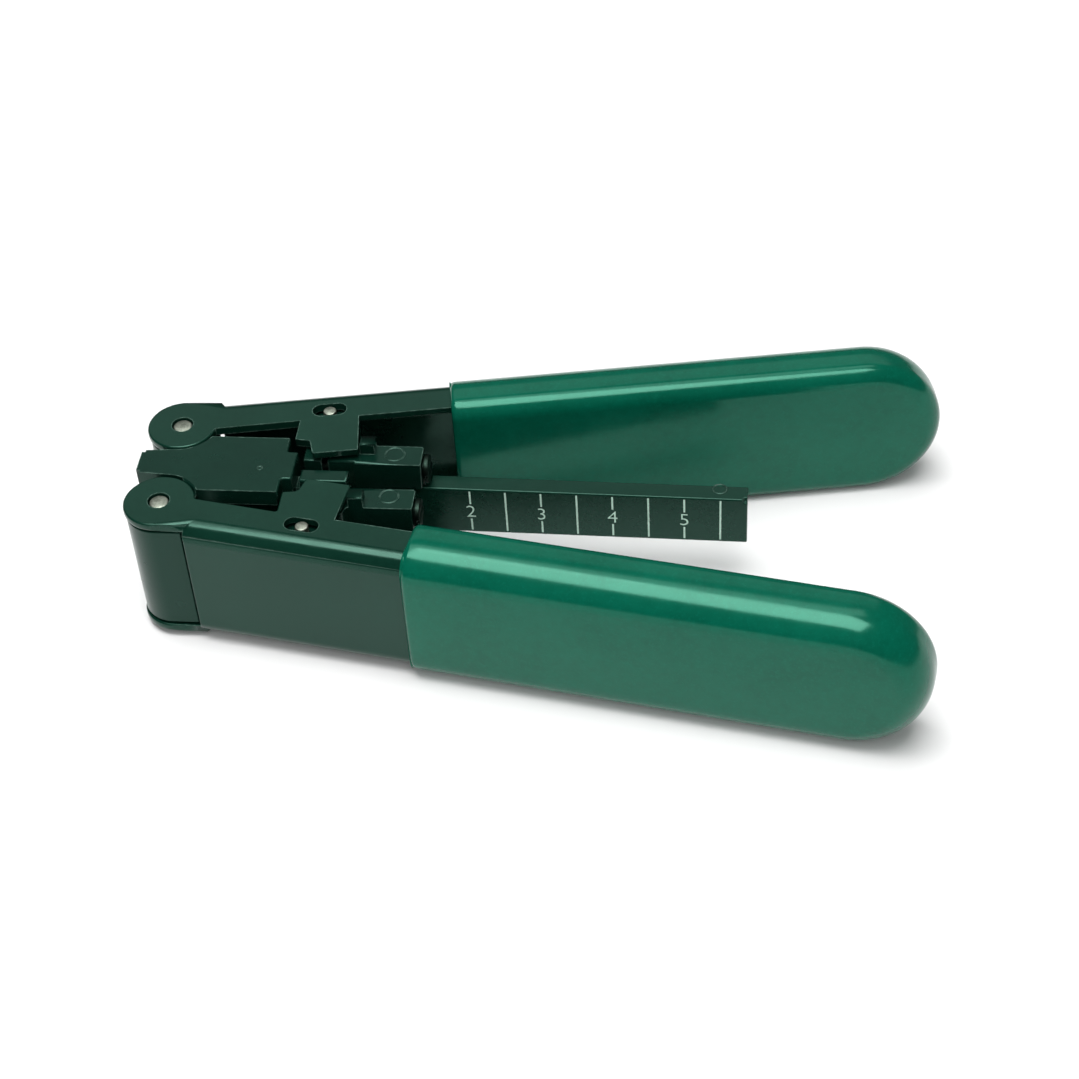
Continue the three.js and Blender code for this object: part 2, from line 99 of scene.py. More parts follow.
def noiseOf(tree, coords, size, detail=3.0, roughness=0.5):
    # size is the width of one blotch in mm
    node = tree.nodes.new("ShaderNodeTexNoise")
    node.inputs["Scale"].default_value = 1 / (size * mm)
    node.inputs["Detail"].default_value = detail
    node.inputs["Roughness"].default_value = roughness
    tree.links.new(coords, node.inputs["Vector"])
    return node.outputs["Fac"]


def speckOf(tree, coords, size):
    node = tree.nodes.new("ShaderNodeTexVoronoi")
    node.inputs["Scale"].default_value = 1 / (size * mm)
    tree.links.new(coords, node.inputs["Vector"])
    return node.outputs["Distance"]


def stretched(tree, coords, amount):
    node = tree.nodes.new("ShaderNodeMapping")
    node.inputs["Scale"].default_value = amount
    tree.links.new(coords, node.inputs["Vector"])
    return node.outputs["Vector"]


def ranged(tree, value, low, high, outLow, outHigh):
    node = tree.nodes.new("ShaderNodeMapRange")
    node.clamp = True
    for socket, number in zip(("From Min", "From Max", "To Min", "To Max"), (low, high, outLow, outHigh)):
        node.inputs[socket].default_value = number
    tree.links.new(value, node.inputs["Value"])
    return node.outputs["Result"]


def mixed(tree, share, colorA, colorB):
    node = tree.nodes.new("ShaderNodeMix")
    node.data_type = "RGBA"
    tree.links.new(share, node.inputs[0])
    for socket, color in ((node.inputs[6], colorA), (node.inputs[7], colorB)):
        if isinstance(color, tuple):
            socket.default_value = (*color, 1)
        else:
            tree.links.new(color, socket)
    return node.outputs[2]


def added(tree, first, second, operation="ADD"):
    node = tree.nodes.new("ShaderNodeMath")
    node.operation = operation
    for socket, value in zip(node.inputs, (first, second)):
        if isinstance(value, (int, float)):
            socket.default_value = value
        else:
            tree.links.new(value, socket)
    return node.outputs[0]


def bumped(tree, height, strength, depth, under=None):
    # depth is the relief in mm
    node = tree.nodes.new("ShaderNodeBump")
    node.inputs["Strength"].default_value = strength
    node.inputs["Distance"].default_value = depth * mm
    tree.links.new(height, node.inputs["Height"])
    if under is not None:
        tree.links.new(under, node.inputs["Normal"])
    return node.outputs["Normal"]


# 1 on edges and 0 on flat stretches: how far a normal averaged over a radius in mm leans from the true one
def edgeShare(tree, radius, start, end):
    averaged = tree.nodes.new("ShaderNodeBevel")
    averaged.samples = 4
    averaged.inputs["Radius"].default_value = radius * mm
    true = tree.nodes.new("ShaderNodeNewGeometry")
    compare = tree.nodes.new("ShaderNodeVectorMath")
    compare.operation = "DOT_PRODUCT"
    tree.links.new(averaged.outputs["Normal"], compare.inputs[0])
    tree.links.new(true.outputs["Normal"], compare.inputs[1])
    return ranged(tree, compare.outputs["Value"], start, end, 0, 1)


def blotches(tree, coords, dark, light, large, fine):
    share = ranged(tree, noiseOf(tree, coords, large), 0.3, 0.7, 0, 1)
    grain = ranged(tree, noiseOf(tree, coords, fine, 2), 0.3, 0.7, 0, 1)
    both = added(tree, added(tree, share, 0.6, "MULTIPLY"), added(tree, grain, 0.4, "MULTIPLY"))
    return mixed(tree, both, dark, light)


enamel = {
    "dark": (0.0018, 0.0175, 0.0108),
    "light": (0.0032, 0.0245, 0.0155),
    # lighter edge colour: painted highlight along the edges, partly also rubbed paint
    "worn_and_highlight": (0.120, 0.200, 0.165),
    "sheen": (0.48, 1.0, 0.79),
    "roughness": (0.14, 0.22),
    "specular": 0.42,
}


def makeEnamel(name, settings):
    material, tree, shader, coords = newMaterial(name)
    paint = blotches(tree, coords, settings["dark"], settings["light"], 9, 0.8)
    # edges are mixed toward the lighter colour: painted highlight lines along the rounded edges, partly
    # rubbed paint, broken up by noise
    edgeBreakup = ranged(tree, noiseOf(tree, coords, 0.9, 5), 0.42, 0.62, 0.3, 0.95)
    wearAndHighlight = added(tree, edgeShare(tree, 0.3, 0.97, 0.78), edgeBreakup, "MULTIPLY")
    tree.links.new(mixed(tree, wearAndHighlight, paint, settings["worn_and_highlight"]), shader.inputs["Base Color"])
    low, high = settings["roughness"]
    cloudy = noiseOf(tree, coords, 2.5, 4)
    tree.links.new(ranged(tree, cloudy, 0.3, 0.7, low, high), shader.inputs["Roughness"])
    peel = bumped(tree, noiseOf(tree, coords, 1.1, 2), 0.10, 0.03)
    specks = ranged(tree, speckOf(tree, coords, 2.6), 0.0, 0.07, 1, 0)
    tree.links.new(bumped(tree, specks, 0.2, 0.02, peel), shader.inputs["Normal"])
    shader.inputs["Metallic"].default_value = 0.0
    shader.inputs["Specular IOR Level"].default_value = settings["specular"]
    shader.inputs["Specular Tint"].default_value = (*settings["sheen"], 1)
    return material


vinyl = {
    "dark": (0.0004, 0.066, 0.038),
    "light": (0.0007, 0.090, 0.053),
    "mottle": (0.003, 0.118, 0.076),
    "sheen": (0.36, 1.0, 0.74),
    "roughness": (0.15, 0.21),
    "specular": 0.5,
}


def makeVinyl():
    material, tree, shader, coords = newMaterial("grip_vinyl")
    base = blotches(tree, coords, vinyl["dark"], vinyl["light"], 11, 1.3)
    flecks = ranged(tree, noiseOf(tree, coords, 0.5, 4, 0.7), 0.52, 0.74, 0, 0.4)
    tree.links.new(mixed(tree, flecks, base, vinyl["mottle"]), shader.inputs["Base Color"])
    low, high = vinyl["roughness"]
    cloudy = noiseOf(tree, coords, 3.5, 3)
    tree.links.new(ranged(tree, cloudy, 0.3, 0.7, low, high), shader.inputs["Roughness"])
    slow = bumped(tree, noiseOf(tree, coords, 6, 2), 0.1, 0.12)
    tree.links.new(bumped(tree, noiseOf(tree, coords, 0.45, 3), 0.12, 0.02, slow), shader.inputs["Normal"])
    shader.inputs["Specular IOR Level"].default_value = vinyl["specular"]
    shader.inputs["Specular Tint"].default_value = (*vinyl["sheen"], 1)
    return material


plated = {"dark": (0.13, 0.15, 0.12), "light": (0.46, 0.50, 0.42), "roughness": (0.36, 0.55)}
blackened = {"dark": (0.010, 0.020, 0.015), "light": (0.024, 0.042, 0.033), "roughness": (0.36, 0.5)}
toolSteel = {"dark": (0.36, 0.37, 0.38), "light": (0.56, 0.57, 0.58), "roughness": (0.2, 0.34)}
wireSteel = {"dark": (0.12, 0.125, 0.13), "light": (0.24, 0.25, 0.25), "roughness": (0.25, 0.42)}


def makeSteel(name, settings, pit=0.35, streak=(1, 1, 1)):
    material, tree, shader, coords = newMaterial(name)
    base = blotches(tree, coords, settings["dark"], settings["light"], 0.9, 0.25)
    tree.links.new(base, shader.inputs["Base Color"])
    low, high = settings["roughness"]
    lines = stretched(tree, coords, streak)
    cloudy = noiseOf(tree, lines, 0.4, 4)
    tree.links.new(ranged(tree, cloudy, 0.3, 0.7, low, high), shader.inputs["Roughness"])
    pits = bumped(tree, noiseOf(tree, coords, 0.55, 3), pit, 0.05)
    tree.links.new(bumped(tree, noiseOf(tree, lines, 0.15, 2), 0.25, 0.01, pits), shader.inputs["Normal"])
    shader.inputs["Metallic"].default_value = 1.0
    return material


def makePrint():
    material, tree, shader, coords = newMaterial("scale_print")
    base = blotches(tree, coords, (0.50, 0.72, 0.60), (0.68, 0.90, 0.78), 1.2, 0.2)
    tree.links.new(base, shader.inputs["Base Color"])
    tree.links.new(ranged(tree, noiseOf(tree, coords, 0.3), 0.3, 0.7, 0.4, 0.6), shader.inputs["Roughness"])
    tree.links.new(bumped(tree, noiseOf(tree, coords, 0.2, 2), 0.2, 0.01), shader.inputs["Normal"])
    return material


frameEnamel = makeEnamel("frame_enamel", enamel)
castEnamel = makeEnamel("cast_enamel", {
    **enamel,
    "dark": (0.0012, 0.0130, 0.0082),
    "light": (0.0024, 0.0190, 0.0122),
    "roughness": (0.18, 0.28),
    "specular": 0.36,
})
scaleEnamel = makeEnamel("scale_enamel", {**enamel, "roughness": (0.18, 0.26)})
gripVinyl = makeVinyl()
rivetSteel = makeSteel("rivet_steel", plated, 0.7)
guideSteel = makeSteel("guide_steel", plated, 0.15, (0.2, 1, 1))
screwSteel = makeSteel("screw_steel", blackened, 0.15)
bladeSteel = makeSteel("blade_steel", toolSteel, 0.08, (1, 0.15, 1))
springSteel = makeSteel("spring_wire", wireSteel, 0.12)
printInk = makePrint()
print("materials ready")

# helpers that turn a bmesh into a finished piece


def finishPiece(name, bm, material, body, stands=(), sharpAngle=38):
    mesh = bpy.data.meshes.new(name)
    bm.to_mesh(mesh)
    bm.free()
    mesh.materials.clear()
    mesh.materials.append(material)
    mesh.shade_smooth()
    mesh.set_sharp_from_angle(angle=math.radians(sharpAngle))
    piece = bpy.data.objects.new(name, mesh)
    scene.collection.objects.link(piece)
    if body:
        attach(piece, body)
    if stands:
        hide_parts(*stands)
    return piece


def settle(piece):
    # puts the modifiers' result into the mesh
    bpy.context.view_layer.update()
    shown = piece.evaluated_get(bpy.context.evaluated_depsgraph_get())
    made = bpy.data.meshes.new_from_object(shown)
    old = piece.data
    piece.modifiers.clear()
    piece.data = made
    bpy.data.meshes.remove(old)


def bodyOf(node):
    return frame["nodes"][node]["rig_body"]


# the weld joins corners that lie closer together than the rounding could follow
def cleanCopy(node, weld):
    bm = bmesh.new()
    bm.from_mesh(frame["nodes"][node].data)
    bmesh.ops.remove_doubles(bm, verts=bm.verts, dist=weld * mm)
    bmesh.ops.dissolve_limit(bm, angle_limit=math.radians(1), verts=bm.verts, edges=bm.edges)
    return bm


# a rounding that is too wide for the corner it meets folds over itself; reach is in mm, area in square mm
rounded = {
    "attempts": 9,
    "weldShare": 0.25,
    "widestWeld": 0.06,
    "reach": 0.5,
    "tornArea": 0.004,
    "flatTriangle": 0.0002,
    "foldAngle": 120,
    "creaseAngle": 55,
    "sharpAngle": 34,
    "fewCorners": 12,
}


# where the outline of one face crosses itself
def outlineCrossings(corners, normal):
    across = normal.orthogonal().normalized()
    along = normal.cross(across)
    flat = [(corner.dot(across), corner.dot(along)) for corner in corners]
    count = len(flat)

    def turn(o, p, q):
        return (p[0] - o[0]) * (q[1] - o[1]) - (p[1] - o[1]) * (q[0] - o[0])

    spots = []
    for i in range(count):
        a, b = flat[i], flat[(i + 1) % count]
        for j in range(i + 2, count):
            if i == 0 and j == count - 1:
                continue
            c, d = flat[j], flat[(j + 1) % count]
            if turn(a, b, c) * turn(a, b, d) <= 0 and turn(c, d, a) * turn(c, d, b) <= 0:
                spots.append((corners[i] + corners[(i + 1) % count]) / 2)
                spots.append((corners[j] + corners[(j + 1) % count]) / 2)
    if not spots and count < rounded["fewCorners"]:
        spots = list(corners)
    return spots


# where a rounding has torn a face, or folded it back over its neighbour
def tornSpots(mesh):
    mesh.calc_loop_triangles()
    covered = [0.0] * len(mesh.polygons)
    torn = set()
    for triangle in mesh.loop_triangles:
        face = triangle.polygon_index
        covered[face] += triangle.area
        a, b, c = (mesh.vertices[i].co for i in triangle.vertices)
        facing = (b - a).cross(c - a)
        if facing.length > rounded["flatTriangle"] * mm * mm and facing.dot(mesh.polygons[face].normal) < 0:
            torn.add(face)
    for face in mesh.polygons:
        if abs(covered[face.index] - face.area) > rounded["tornArea"] * mm * mm:
            torn.add(face.index)
    spots = []
    for index in sorted(torn):
        face = mesh.polygons[index]
        spots += outlineCrossings([mesh.vertices[i].co.copy() for i in face.vertices], face.normal)
    bm = bmesh.new()
    bm.from_mesh(mesh)
    for joint in bm.edges:
        if len(joint.link_faces) == 2 and joint.calc_face_angle(0) > math.radians(rounded["foldAngle"]):
            spots.append((joint.verts[0].co + joint.verts[1].co) / 2)
    bm.free()
    return spots


# the sharp edges take the rounding, apart from those that pass within reach of a torn spot
def weighEdges(mesh, spots):
    bm = bmesh.new()
    bm.from_mesh(mesh)
    layers = bm.edges.layers.float
    weight = layers.get("bevel_weight_edge") or layers.new("bevel_weight_edge")
    for joint in bm.edges:
        sharp = len(joint.link_faces) == 2 and joint.calc_face_angle() > math.radians(rounded["sharpAngle"])
        first = joint.verts[0].co
        span = joint.verts[1].co - first
        for spot in spots if sharp else ():
            share = (spot - first).dot(span) / span.length_squared
            if (first + span * min(max(share, 0), 1) - spot).length < rounded["reach"] * mm:
                sharp = False
                break
        joint[weight] = 1.0 if sharp else 0.0
    bm.to_mesh(mesh)
    bm.free()


# one piece in the shape of its frame node, with the paint-rounded edges that the node leaves out;
# an edge stays sharp only where the corner is too fine for the rounding
def roundedPiece(node, material, edge, segments=3):
    bm = cleanCopy(node, min(edge * rounded["weldShare"], rounded["widestWeld"]))
    piece = finishPiece(node + "_finished", bm, material, bodyOf(node), (node,), 180)
    rounding = piece.modifiers.new("rounding", "BEVEL")
    rounding.limit_method = "WEIGHT"
    rounding.width = edge * mm
    rounding.segments = segments
    rounding.use_clamp_overlap = False
    rounding.miter_outer = "MITER_ARC"
    spots = []
    for attempt in range(rounded["attempts"]):
        weighEdges(piece.data, spots)
        look = piece.evaluated_get(bpy.context.evaluated_depsgraph_get())
        torn = tornSpots(look.to_mesh())
        look.to_mesh_clear()
        if not torn:
            break
        spots += torn
    rounding.use_clamp_overlap = len(torn) > rounded["fewCorners"]
    settle(piece)
    piece.data.set_sharp_from_angle(angle=math.radians(rounded["creaseAngle"]))
    evening = piece.modifiers.new("evening", "WEIGHTED_NORMAL")
    evening.keep_sharp = True
    evening.weight = 60
    settle(piece)
    print(" rounded", node, "in", attempt + 1, "attempts,", len(torn), "torn spots left")
    return piece


# a lathe-turned solid: profile is (radius, height) from the lower centre to the upper centre
def turnedSolid(bm, profile, x, y, segments=40):
    rings = []
    for radius, z in profile:
        if radius < 1e-6:
            rings.append([bm.verts.new(place(x, y, z))])
            continue
        ring = []
        for i in range(segments):
            angle = 2 * math.pi * i / segments
            ring.append(bm.verts.new(place(x + radius * math.cos(angle), y + radius * math.sin(angle), z)))
        rings.append(ring)
    for lower, upper in zip(rings, rings[1:]):
        for i in range(segments):
            j = (i + 1) % segments
            if len(lower) == 1:
                bm.faces.new((lower[0], upper[j], upper[i]))
            elif len(upper) == 1:
                bm.faces.new((lower[i], lower[j], upper[0]))
            else:
                bm.faces.new((lower[i], lower[j], upper[j], upper[i]))


# a wire along a list of points, with closed ends
def wireSolid(bm, points, radius, around=12):
    rings = []
    across = Vector((0, 0, 1))
    for i, point in enumerate(points):
        ahead = points[min(i + 1, len(points) - 1)] - points[max(i - 1, 0)]
        ahead.normalize()
        across = (across - ahead * across.dot(ahead)).normalized()
        other = ahead.cross(across)
        ring = []
        for k in range(around):
            angle = 2 * math.pi * k / around
            ring.append(bm.verts.new(point + (across * math.cos(angle) + other * math.sin(angle)) * radius))
        rings.append(ring)
    for lower, upper in zip(rings, rings[1:]):
        for k in range(around):
            m = (k + 1) % around
            bm.faces.new((lower[k], lower[m], upper[m], upper[k]))
    bm.faces.new(list(reversed(rings[0])))
    bm.faces.new(rings[-1])


handleAngle = math.radians(9.76)
pivotY = 7.9


# u runs along a handle from its pivot, v outwards, and way is 1 on the far side and -1 on the near side
def onHandle(u, v, z, way):
    x = u * math.cos(handleAngle) - v * math.sin(handleAngle)
    y = pivotY + u * math.sin(handleAngle) + v * math.cos(handleAngle)
    return place(x, way * y, z)


# painted metal keeps its frame shape and gets rounded edges, widths in mm
edges = {"frame": 0.28, "head": 0.3, "jaw": 0.25, "clamp": 0.2, "scale": 0.2, "blade": 0.03, "screw": 0.12}

roundedPiece("head_block", castEnamel, edges["head"])
for side in sides:
    roundedPiece(f"{side}_handle_frame", frameEnamel, edges["frame"])
    roundedPiece(f"{side}_jaw", castEnamel, edges["jaw"])
    roundedPiece(f"{side}_blade_clamp", castEnamel, edges["clamp"], 2)
    roundedPiece(f"{side}_blade", bladeSteel, edges["blade"], 2)
    for level in ("upper", "lower"):
        roundedPiece(f"{side}_jaw_screw_{level}", screwSteel, edges["screw"], 2)
roundedPiece("ruler", scaleEnamel, edges["scale"])
print("painted metal ready")

# rivets and pins stand straight up, with soft rims and slightly crowned ends
rivet = {"radius": 1.32, "top": -0.15, "chamfer": 0.2, "crown": 0.1}
drivePin = {"radius": 0.93, "top": -0.1, "chamfer": 0.18, "crown": 0.08}
headMiddle = -10.2


def pinProfile(pin):
    radius, top = pin["radius"], pin["top"] - pin["crown"]
    steps = 4
    upper = [(radius - pin["chamfer"], top), (radius, top - pin["chamfer"])]
    corner = []
    for i in range(1, steps):
        angle = math.pi / 2 * (1 - i / steps)
        across = pin["chamfer"] * (1 - math.cos(angle))
        down = pin["chamfer"] * (1 - math.sin(angle))
        corner.append((radius - across, top - down))
    face = []
    for i in range(5):
        share = i / 5
        face.append(((radius - pin["chamfer"]) * share, top + pin["crown"] * (1 - share * share)))
    topHalf = face + [upper[0]] + corner + [upper[1]]
    lowHalf = [(r, 2 * headMiddle - z) for r, z in topHalf]
    return lowHalf + list(reversed(topHalf))


for side, way in sides.items():
    for node, pin in ((f"{side}_pivot_rivet", rivet), (f"{side}_drive_pin", drivePin)):
        centre = (middleOf(node) - toolOrigin) / mm
        bm = bmesh.new()
        turnedSolid(bm, pinProfile(pin), centre.x, centre.y)
        finishPiece(node + "_turned", bm, rivetSteel, bodyOf(node), (node,))

for node in ("jaw_guide_pin_upper", "jaw_guide_pin_lower"):
    roundedPiece(node, guideSteel, 0.15, 2)
for node in ("ruler_rivet_1", "ruler_rivet_2"):
    roundedPiece(node, rivetSteel, 0.14, 2)
print("rivets and pins ready")

# thin raised marks left by the mould: x, y, z of each centre, then ring radius, ridge width and
# ridge height, all in mm
mouldMarks = {
    "near_jaw": {"at": (31.0, -3.95, -1.75), "radius": 1.3, "width": 0.34, "height": 0.12},
    "far_jaw": {"at": (30.6, 4.7, -1.75), "radius": 1.35, "width": 0.34, "height": 0.12},
    "head_block": {"at": (12.7, -0.8, 0), "radius": 0.32, "width": 0.3, "height": 0.07},
    "ruler": {"at": (75.7, 4.45, -6.4), "radius": 0.95, "width": 0.26, "height": 0.1},
}


def ridgeRing(bm, mark, around=36, steps=6):
    x, y, z = mark["at"]
    half, foot = mark["width"] / 2, -0.03
    section = [(half * math.cos(math.pi * k / steps), mark["height"] * math.sin(math.pi * k / steps))
               for k in range(steps + 1)]
    section += [(-half, foot), (half, foot)]
    rings = []
    for i in range(around):
        turn = 2 * math.pi * i / around
        rings.append([bm.verts.new(place(x + (mark["radius"] + across) * math.cos(turn),
                                         y + (mark["radius"] + across) * math.sin(turn), z + up))
                      for across, up in section])
    for i in range(around):
        first, second = rings[i], rings[(i + 1) % around]
        for k in range(len(section)):
            m = (k + 1) % len(section)
            bm.faces.new((first[k], second[k], second[m], first[m]))
    bmesh.ops.recalc_face_normals(bm, faces=bm.faces)


for node, mark in mouldMarks.items():
    bm = bmesh.new()
    ridgeRing(bm, mark)
    finishPiece(node + "_mould_mark", bm, castEnamel, bodyOf(node))
print("mould marks ready")

# wound wire with one leg against the head and one along the handle
spring = {
    "meanRadius": 2.2,
    "wire": 0.45,
    "turns": 4,
    "pitch": 1.15,
    "outerLeg": 11.3,
    "innerLeg": 8.5,
    "steps": 300,
}


def springPoints(way):
    radius = spring["meanRadius"]
    sweep = spring["turns"] * 2 * math.pi + math.pi - handleAngle
    coil = sweep * radius
    total = spring["innerLeg"] + coil + spring["outerLeg"]
    rise = spring["pitch"] * sweep / (2 * math.pi)
    low = headMiddle - rise / 2
    points = []
    for i in range(spring["steps"] + 1):
        travelled = total * i / spring["steps"]
        onCoil = min(max(travelled - spring["innerLeg"], 0), coil)
        onLeg = max(travelled - spring["innerLeg"] - coil, 0)
        back = max(spring["innerLeg"] - travelled, 0)
        angle = -math.pi / 2 - onCoil / radius
        x = radius * math.cos(angle) + onLeg * math.sin(angle) + back
        y = radius * math.sin(angle) - onLeg * math.cos(angle)
        points.append(place(x, way * (pivotY + y), low + rise * onCoil / coil))
    return points


for side, way in sides.items():
    node = f"{side}_return_spring"
    bm = bmesh.new()
    wireSolid(bm, springPoints(way), spring["wire"] * mm * 0.98)
    bmesh.ops.recalc_face_normals(bm, faces=bm.faces)
    finishPiece(node + "_wound", bm, springSteel, bodyOf(node), (node,))
print("springs ready")

# hollow sleeves dipped over the handles: section across the handle, length along it
grip = {
    "length": 70.15,
    "starts": {"far": 37.9, "near": 36.0},
    "outer": 5.99,          # outer and inner faces, across the handle
    "inner": -3.46,
    "half": 11.3,
    "outerCorner": (5.2, 4.0),          # across the handle, then upwards
    "innerCorner": (2.6, 2.6),
    "crown": 0.16,
    "rim": 0.75,
    "pocket": {"outer": 5.12, "inner": -1.62, "half": 10.42, "end": 93.2},
    "pocketCorners": ((2.2, 2.2), (0.4, 0.4)),
    "faceSteps": 6,
    "arcSteps": 9,
    "edgeSteps": 3,
    "endSteps": 40,
    "lengthSteps": 44,
}


# half of a section, from the middle of the outer face over the upper edge to the middle of the inner face;
# each corner is a quarter ellipse, given by its reach across the handle and its reach upwards
def halfSection(outer, inner, half, corners, crown):
    (outerAcross, outerUp), (innerAcross, innerUp) = corners
    faceSteps, arcSteps, edgeSteps = grip["faceSteps"], grip["arcSteps"], grip["edgeSteps"]
    points = []
    for i in range(faceSteps):
        share = i / faceSteps
        points.append((outer - crown * share * share, (half - outerUp) * share))
    for i in range(arcSteps + 1):
        angle = math.pi / 2 * i / arcSteps
        across = (outerAcross - crown) * math.cos(angle)
        points.append((outer - outerAcross + across, half - outerUp + outerUp * math.sin(angle)))
    start, end = outer - outerAcross, inner + innerAcross
    for i in range(1, edgeSteps):
        points.append((start + (end - start) * i / edgeSteps, half))
    for i in range(arcSteps + 1):
        angle = math.pi / 2 * i / arcSteps
        across = (innerAcross - crown) * math.sin(angle)
        points.append((inner + innerAcross - across, half - innerUp + innerUp * math.cos(angle)))
    for i in range(faceSteps - 1, -1, -1):
        share = i / faceSteps
        points.append((inner + crown * share * share, (half - innerUp) * share))
    return points


def shrunkCorners(corners, inset):
    return tuple((across - inset, up - inset) for across, up in corners)


def buildGrip(side, way):
    start = grip["starts"][side]
    roundEnd = start + grip["length"] - grip["half"]
    bm = bmesh.new()

    def ringAt(u, outer, inner, half, corners, crown):
        upper = halfSection(outer, inner, half, corners, crown)
        lower = [(v, -z) for v, z in reversed(upper[1:-1])]
        return [bm.verts.new(onHandle(u, v, headMiddle + z, way)) for v, z in upper + lower]

    def bridge(first, second):
        for i in range(len(first)):
            j = (i + 1) % len(first)
            bm.faces.new((first[i], first[j], second[j], second[i]))

    pocket, pocketCorners = grip["pocket"], grip["pocketCorners"]
    corners = (grip["outerCorner"], grip["innerCorner"])
    lip = 0.35
    rings = []
    for u in (pocket["end"], start + 6, start + 1.2, start + lip):
        rings.append(ringAt(u, pocket["outer"], pocket["inner"], pocket["half"], pocketCorners, 0))
    rings.append(ringAt(start, pocket["outer"] + lip, pocket["inner"] - lip, pocket["half"] + lip / 2,
                        shrunkCorners(pocketCorners, -lip), 0))
    rimSteps = 6
    for i in range(rimSteps + 1):
        angle = math.pi / 2 * i / rimSteps
        inset = grip["rim"] * (1 - math.sin(angle))
        ahead = grip["rim"] * (1 - math.cos(angle))
        outer, inner, half = grip["outer"] - inset, grip["inner"] + inset, grip["half"] - inset
        rimCorners = shrunkCorners(corners, inset)
        rings.append(ringAt(start + ahead, outer, inner, half, rimCorners, grip["crown"]))
    first = start + grip["rim"]
    for i in range(1, grip["lengthSteps"] + 1):
        u = first + (roundEnd - first) * i / grip["lengthSteps"]
        rings.append(ringAt(u, grip["outer"], grip["inner"], grip["half"], corners, grip["crown"]))
    for lower, upper in zip(rings, rings[1:]):
        bridge(lower, upper)
    bm.faces.new(rings[0])

    # the round end turns the half section about the line through the end's centre
    profile = halfSection(grip["outer"], grip["inner"], grip["half"], corners, grip["crown"])
    count = len(profile)
    last = rings[-1]
    arcs = [last[:count]]
    for k in range(1, grip["endSteps"]):
        turn = math.pi * k / grip["endSteps"]
        arc = [last[0]]
        for v, z in profile[1:-1]:
            u = roundEnd + z * math.sin(turn)
            arc.append(bm.verts.new(onHandle(u, v, headMiddle + z * math.cos(turn), way)))
        arc.append(last[count - 1])
        arcs.append(arc)
    arcs.append([last[0]] + list(reversed(last[count:])) + [last[count - 1]])
    for before, after in zip(arcs, arcs[1:]):
        for i in range(count - 1):
            around = []
            for vertex in (before[i], before[i + 1], after[i + 1], after[i]):
                if vertex not in around:
                    around.append(vertex)
            bm.faces.new(around)
    bmesh.ops.recalc_face_normals(bm, faces=bm.faces)
    node = f"{side}_grip"
    finishPiece(node + "_dipped", bm, gripVinyl, bodyOf(node), (node,), 50)


for side, way in sides.items():
    buildGrip(side, way)
print("grips ready")

# printed lines and centimetre numbers
marks = {
    "zeroX": 20.87,          # the blades, where the scale starts
    "front": 3.0,
    "turnX": 35.3,
    "tilt": math.radians(-0.9),
    "lineWidth": 0.25,
    "high": -6.75,
    "low": -14.0,
    "numberMiddle": -10.5,
    "numberHeight": 2.08,
    "numberGap": 0.35,
    "ink": 0.012,
}


def onScale(x, z, lift):
    along = Vector((math.cos(marks["tilt"]), math.sin(marks["tilt"]), 0))
    outwards = Vector((math.sin(marks["tilt"]), -math.cos(marks["tilt"]), 0))
    start = place(marks["turnX"], marks["front"], z)
    return start + along * (x - marks["turnX"]) * mm + outwards * lift * mm


def inkLine(bm, x, low, high):
    half = marks["lineWidth"] / 2
    corners = []
    for lift in (-marks["ink"], marks["ink"]):
        for dx, z in ((-half, low), (half, low), (half, high), (-half, high)):
            corners.append(bm.verts.new(onScale(x + dx, z, lift)))
    for face in ((3, 2, 1, 0), (4, 5, 6, 7), (0, 1, 5, 4), (1, 2, 6, 5), (2, 3, 7, 6), (3, 0, 4, 7)):
        bm.faces.new([corners[i] for i in face])


def inkNumber(text, x):
    curve = bpy.data.curves.new("number", "FONT")
    curve.body = text
    curve.align_x = "CENTER"
    curve.size = 1
    curve.extrude = 0.01
    curve.offset = -0.012                # thinner strokes
    curve.resolution_u = 6
    writing = bpy.data.objects.new("number", curve)
    scene.collection.objects.link(writing)
    bpy.context.view_layer.update()
    mesh = bpy.data.meshes.new_from_object(writing.evaluated_get(bpy.context.evaluated_depsgraph_get()))
    bpy.data.objects.remove(writing)
    lowest = min(v.co.y for v in mesh.vertices)
    highest = max(v.co.y for v in mesh.vertices)
    size = marks["numberHeight"] / (highest - lowest)
    for v in mesh.vertices:
        rise = (v.co.y - (lowest + highest) / 2) * size
        v.co = onScale(x + v.co.x * size, marks["numberMiddle"] + rise, math.copysign(marks["ink"], v.co.z))
    return mesh


bm = bmesh.new()
for tenth in range(4, 12):
    x = marks["zeroX"] + 5 * tenth
    if tenth % 2:
        inkLine(bm, x, marks["low"], marks["high"])
        continue
    reach = marks["numberHeight"] / 2 + marks["numberGap"]
    inkLine(bm, x, marks["numberMiddle"] + reach, marks["high"])
    inkLine(bm, x, marks["low"], marks["numberMiddle"] - reach)
    mesh = inkNumber(str(tenth // 2), x)
    bm.from_mesh(mesh)
    bpy.data.meshes.remove(mesh)
bmesh.ops.remove_doubles(bm, verts=bm.verts, dist=0.001 * mm)
finishPiece("scale_marks", bm, printInk, bodyOf("ruler"))
print("scale marks ready")

stage = {"reach": 1.6, "albedo": 0.8}


def makeFloor():
    material, tree, shader, coords = newMaterial("floor_paper")
    shader.inputs["Roughness"].default_value = 0.9
    shader.inputs["Specular IOR Level"].default_value = 0.2
    grain = ranged(tree, noiseOf(tree, coords, 60), 0.3, 0.7, 0, 1)
    tone = stage["albedo"]
    tree.links.new(mixed(tree, grain, (tone, tone, tone), (tone * 0.985,) * 3), shader.inputs["Base Color"])
    bm = bmesh.new()
    reach = stage["reach"]
    corners = [bm.verts.new((x * reach, y * reach, 0)) for x, y in ((-1, -1), (1, -1), (1, 1), (-1, 1))]
    bm.faces.new(corners)
    floor = finishPiece("floor", bm, material, None)


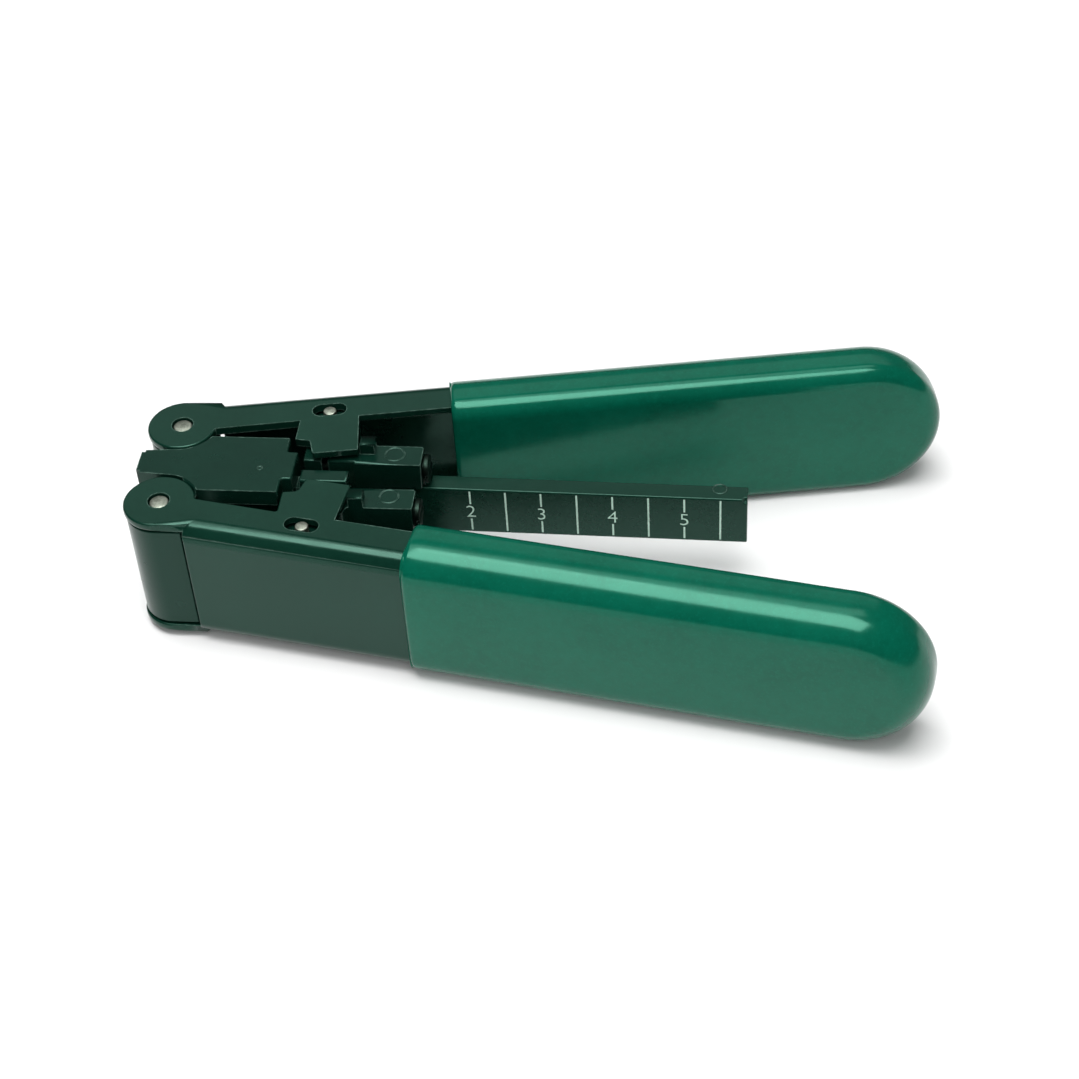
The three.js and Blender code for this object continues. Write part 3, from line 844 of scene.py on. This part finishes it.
def softLight(name, where, target, size, watts, tint=(1, 1, 1)):
    data = bpy.data.lights.new(name, "AREA")
    data.shape = "RECTANGLE"
    data.size, data.size_y = size
    data.energy = watts
    data.color = tint
    light = bpy.data.objects.new(name, data)
    light.location = where
    light.rotation_euler = (Vector(target) - Vector(where)).to_track_quat("-Z", "Y").to_euler()
    scene.collection.objects.link(light)
    return light


makeFloor()
softLight("overhead", (-0.06, -0.10, 0.95), (0, 0, 0), (0.75, 0.56), 12)
softLight("overhead_back", (-0.06, 0.34, 0.95), (0, 0, 0), (0.75, 0.30), 1.6)
softLight("back_card", (-0.05, 0.80, 0.66), (0, 0, 0), (1.2, 0.35), 0.7)
fill = softLight("front_fill", (0.0, -0.9, 0.8), (0, 0, 0), (1.2, 0.9), 6)
fill.visible_glossy = False
world = bpy.data.worlds.new("studio")
world.use_nodes = True
world.node_tree.nodes["Background"].inputs["Color"].default_value = (1, 1, 1, 1)
world.node_tree.nodes["Background"].inputs["Strength"].default_value = 0.06
scene.world = world
scene.view_settings.view_transform = "Standard"

cameraView = {
    "azimuth": 8.08,
    "elevation": 43.45,
    "roll": -3.88,
    "lens": 76.0,
    "across": 51.05,
    "up": -10.77,
    "distance": 315.3,
}


def makeCamera():
    a, e = math.radians(cameraView["azimuth"]), math.radians(cameraView["elevation"])
    back = Vector((math.sin(a) * math.cos(e), -math.cos(a) * math.cos(e), math.sin(e)))
    level = Vector((math.cos(a), math.sin(a), 0))
    upright = back.cross(level)
    roll = math.radians(cameraView["roll"])
    right = level * math.cos(roll) + upright * math.sin(roll)
    up = upright * math.cos(roll) - level * math.sin(roll)
    data = bpy.data.cameras.new("camera")
    data.lens = cameraView["lens"]
    data.sensor_width = 36
    data.clip_start = 0.01
    camera = bpy.data.objects.new("camera", data)
    where = right * cameraView["across"] + up * cameraView["up"] + back * cameraView["distance"]
    turn = Matrix((right, up, back)).transposed().to_4x4()
    camera.matrix_world = Matrix.Translation(toolOrigin + where * mm) @ turn
    scene.collection.objects.link(camera)
    scene.camera = camera


makeCamera()
print("stage ready")
